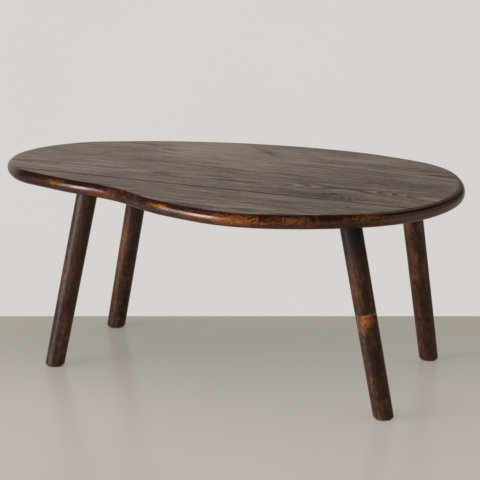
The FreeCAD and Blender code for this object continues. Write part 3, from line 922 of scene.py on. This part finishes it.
turned_piece = turned_tree()
for number, name in enumerate(LEG_NAMES):
    seat, length, splay, heading = leg_stance(name)
    marks = [(on_leg(heading, *mark[:2]), *mark[2:]) for mark in LEG_MARKS[name]]
    shift = (2.7 * number + 0.6, 1.3 * number, 0.9)
    finish = leg_wood(name + "_leg_wood", shift, LEG_PAINTED_SHADE[name], marks)
    sizes = {
        "Length": length,
        "Top radius": LEG_TOP_RADIUS,
        "Foot radius": LEG_FOOT_RADIUS,
        "Top ease": LEG_TOP_EASE,
        "Foot ease": LEG_FOOT_EASE,
        "Splay": splay,
        "Heading": heading,
        "Seat": seat,
        "Unevenness": SANDING_WAVER,
        "Seed": float(number),
        "Finish": finish,
    }
    leg = made_by(turned_piece, name + "_leg", sizes)
    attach(leg, "root")
    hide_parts("leg_" + name)

# The pads: discs of dense wool felt, punched out and stuck under the feet, so that the table slides without
# a scratch and stands quietly.
PAD_EASE = 0.0006
FELT_BROWN = paint(84, 66, 52)
FELT_DARK = paint(52, 40, 32)
FELT_FUZZ = paint(120, 100, 82)
FELT_STRENGTH = 0.6
FELT_DEPTH = 0.0004


def pressed_felt():
    """Dense felt: short tangled fibres with a fuzzy sheen."""
    material, wiring = new_material("pressed_felt")
    place = wiring.add("ShaderNodeTexCoord", out="Object")
    tangle = wiring.noise(place, 900.0, 4.0, 0.7)
    hairs = wiring.stretched_noise(place, (2600.0, 500.0, 2600.0), 2.0)
    shade = wiring.mix(wiring.span(tangle, 0.3, 0.7), FELT_DARK, FELT_BROWN)
    inputs = {
        "Base Color": wiring.mix(wiring.span(hairs, 0.62, 0.70, 0.0, 0.4), shade, FELT_FUZZ),
        "Roughness": 0.95,
        "Sheen Weight": 0.3,
    }
    coat(wiring, inputs, tangle, FELT_STRENGTH, FELT_DEPTH)
    return material


felt = pressed_felt()
for number, name in enumerate(LEG_NAMES):
    low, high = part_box("felt_pad_" + name)
    sizes = {
        "Length": high.z - low.z,
        "Top radius": (high.x - low.x) / 2,
        "Foot radius": (high.x - low.x) / 2,
        "Top ease": PAD_EASE,
        "Foot ease": PAD_EASE,
        "Splay": 0.0,
        "Heading": 0.0,
        "Seat": Vector(((low.x + high.x) / 2, (low.y + high.y) / 2, high.z)),
        "Unevenness": 0.0,
        "Seed": float(number),
        "Finish": felt,
    }
    pad = made_by(turned_piece, name + "_pad", sizes)
    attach(pad, "root")
    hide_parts("felt_pad_" + name)

# The four leg plates: pressed steel, zinc plated. Each has a square flange on the wood and a round cup
# whose sloping seat is square to the leg, with a threaded boss inside it for the hanger bolt.
ZINC = paint(186, 188, 190)
ZINC_SHADE = paint(142, 144, 148)
ZINC_BLOOM = paint(203, 202, 196)
PLATE_CRYSTAL = 0.0035


def zinc_plate(name, crystal_size):
    """Bright zinc with faint crystals, cloudy where it has bloomed."""
    material, wiring = new_material(name)
    place = wiring.add("ShaderNodeTexCoord", out="Object")
    crystals = wiring.add("ShaderNodeTexVoronoi", place, None, 1 / crystal_size, out="Color")
    crystal = wiring.parts(crystals)[0]
    clouds = wiring.noise(place, 90.0, 5.0, 0.6)
    shade = wiring.mix(wiring.span(crystal, 0.0, 1.0, 0.0, 0.45), ZINC, ZINC_SHADE)
    shade = wiring.mix(wiring.span(clouds, 0.5, 0.75, 0.0, 0.6), shade, ZINC_BLOOM)
    roughness = wiring.weighed(0.14, (crystal, 0.10), (clouds, 0.35))
    coat(wiring, {"Base Color": shade, "Metallic": 1.0, "Roughness": roughness})
    return material


plate_zinc = zinc_plate("plate_zinc", PLATE_CRYSTAL)
for name in LEG_NAMES:
    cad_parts["leg_plate_" + name].material_slots[0].material = plate_zinc

# The plate screws: four countersunk steel wood screws with a cross recess to each plate, driven up into the
# top. Their heads lie level with the plate, each stopped at a turn of its own.
SCREW_SPACING = 0.050
SCREW_HEAD_RADIUS = 0.0038
SCREW_SHANK_RADIUS = 0.0020
SCREW_LENGTH = 0.018
SCREW_POINT = 0.003
SCREW_TIP_SHARE = 0.03  # of the shank's radius
SCREW_STEPS = 88
SCREW_SIDES = 20
SCREW_CRYSTAL = 0.0009
RECESS_LENGTH = 0.0042
RECESS_WIDTH = 0.0009
RECESS_DEPTH = 0.0011
THREAD_PITCH = 0.0017
THREAD_CUT = 0.00055
THREAD_START = 0.006
THREAD_RUN_IN = 0.001
THREAD_RUN_OUT = 0.003
SCREW_INPUTS = {
    "Spacing": "NodeSocketFloat",
    "Head radius": "NodeSocketFloat",
    "Shank radius": "NodeSocketFloat",
    "Length": "NodeSocketFloat",
    "Point length": "NodeSocketFloat",
    "Recess length": "NodeSocketFloat",
    "Recess width": "NodeSocketFloat",
    "Recess depth": "NodeSocketFloat",
    "Thread pitch": "NodeSocketFloat",
    "Thread cut": "NodeSocketFloat",
    "Thread start": "NodeSocketFloat",
    "Heading": "NodeSocketFloat",
    "Seat": "NodeSocketVector",
    "Seed": "NodeSocketInt",
    "Finish": "NodeSocketMaterial",
}


def screws_tree():
    """Four screws at the corners of a square, point up, each at a random turn."""
    tree, wiring, given = node_tree("plate_screws", SCREW_INPUTS)
    x, y, reached = wiring.parts(wiring.add("GeometryNodeInputPosition"))
    left = wiring.less(given["Length"], reached)
    pointed = wiring.maths("MINIMUM", wiring.maths("DIVIDE", left, given["Point length"]), 1.0)
    pointed = wiring.maths("MAXIMUM", pointed, SCREW_TIP_SHARE)
    shank = wiring.times(given["Shank radius"], pointed)
    radius = wiring.maths("MAXIMUM", wiring.less(given["Head radius"], reached), shank)
    blank = turned_blank(wiring, given["Length"], 1, radius, SCREW_STEPS, SCREW_SIDES)
    winding = wiring.maths("DIVIDE", wiring.maths("ARCTAN2", y, x), math.tau)
    turns = wiring.less(wiring.maths("DIVIDE", reached, given["Thread pitch"]), winding)
    valley = wiring.times(given["Thread cut"], wiring.maths("PINGPONG", turns, 0.5))
    from_start = wiring.less(reached, given["Thread start"])
    threaded = wiring.span(from_start, 0.0, THREAD_RUN_IN)
    threaded = wiring.times(threaded, wiring.span(left, 0.0, THREAD_RUN_OUT))
    cut = wiring.times(valley, wiring.times(threaded, -2))
    radial = wiring.vector("NORMALIZE", wiring.joined(x, y, 0.0))
    inwards = wiring.vector("SCALE", radial, None, None, cut)
    blank = wiring.add("GeometryNodeSetPosition", blank, None, None, inwards)
    deep = wiring.times(given["Recess depth"], 2)
    recessed = tree.nodes.new("GeometryNodeMeshBoolean")
    recessed.operation = "DIFFERENCE"
    recessed.solver = "EXACT"
    tree.links.new(blank, recessed.inputs["Mesh 1"])
    for long, wide in (("Recess length", "Recess width"), ("Recess width", "Recess length")):
        size = wiring.joined(given[long], given[wide], deep)
        tree.links.new(wiring.add("GeometryNodeMeshCube", size), recessed.inputs["Mesh 2"])
    corners = wiring.add("GeometryNodeMeshGrid", given["Spacing"], given["Spacing"], 2, 2)
    turn = tree.nodes.new("FunctionNodeRandomValue")
    turn.data_type = "FLOAT"
    turn.inputs[3].default_value = math.pi / 2
    tree.links.new(given["Seed"], turn.inputs["Seed"])
    stopped = rotation(wiring, 0.0, 0.0, turn.outputs[1])
    cut_screw = recessed.outputs["Mesh"]
    driven = wiring.add("GeometryNodeInstanceOnPoints", corners, None, cut_screw, None, None, stopped)
    single = wiring.add("GeometryNodeRealizeInstances", driven)
    facing = rotation(wiring, 0.0, 0.0, given["Heading"])
    seated = wiring.add("GeometryNodeTransform", single, given["Seat"], facing)
    wiring.end("NodeGroupOutput", wiring.add("GeometryNodeSetMaterial", seated, None, given["Finish"]))
    return tree


driven_screws = screws_tree()
screw_zinc = zinc_plate("screw_zinc", SCREW_CRYSTAL)
for number, name in enumerate(LEG_NAMES):
    node = "plate_screws_" + name
    middle = middle_of(node)
    sizes = {
        "Spacing": SCREW_SPACING,
        "Head radius": SCREW_HEAD_RADIUS,
        "Shank radius": SCREW_SHANK_RADIUS,
        "Length": SCREW_LENGTH,
        "Point length": SCREW_POINT,
        "Recess length": RECESS_LENGTH,
        "Recess width": RECESS_WIDTH,
        "Recess depth": RECESS_DEPTH,
        "Thread pitch": THREAD_PITCH,
        "Thread cut": THREAD_CUT,
        "Thread start": THREAD_START,
        "Heading": leg_stance(name)[3],
        "Seat": Vector((middle.x, middle.y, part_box(node)[0].z)),
        "Seed": number,
        "Finish": screw_zinc,
    }
    screws = made_by(driven_screws, name + "_plate_screws", sizes)
    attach(screws, "root")
    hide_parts(node)

# The hanger bolts: steel studs, zinc plated, each with a wood thread in the leg and a machine thread in the
# plate. They only show as a glint between the leg and the plate's boss.
BOLT_CRYSTAL = 0.0012
bolt_zinc = zinc_plate("bolt_zinc", BOLT_CRYSTAL)
for name in LEG_NAMES:
    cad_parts["hanger_bolt_" + name].material_slots[0].material = bolt_zinc
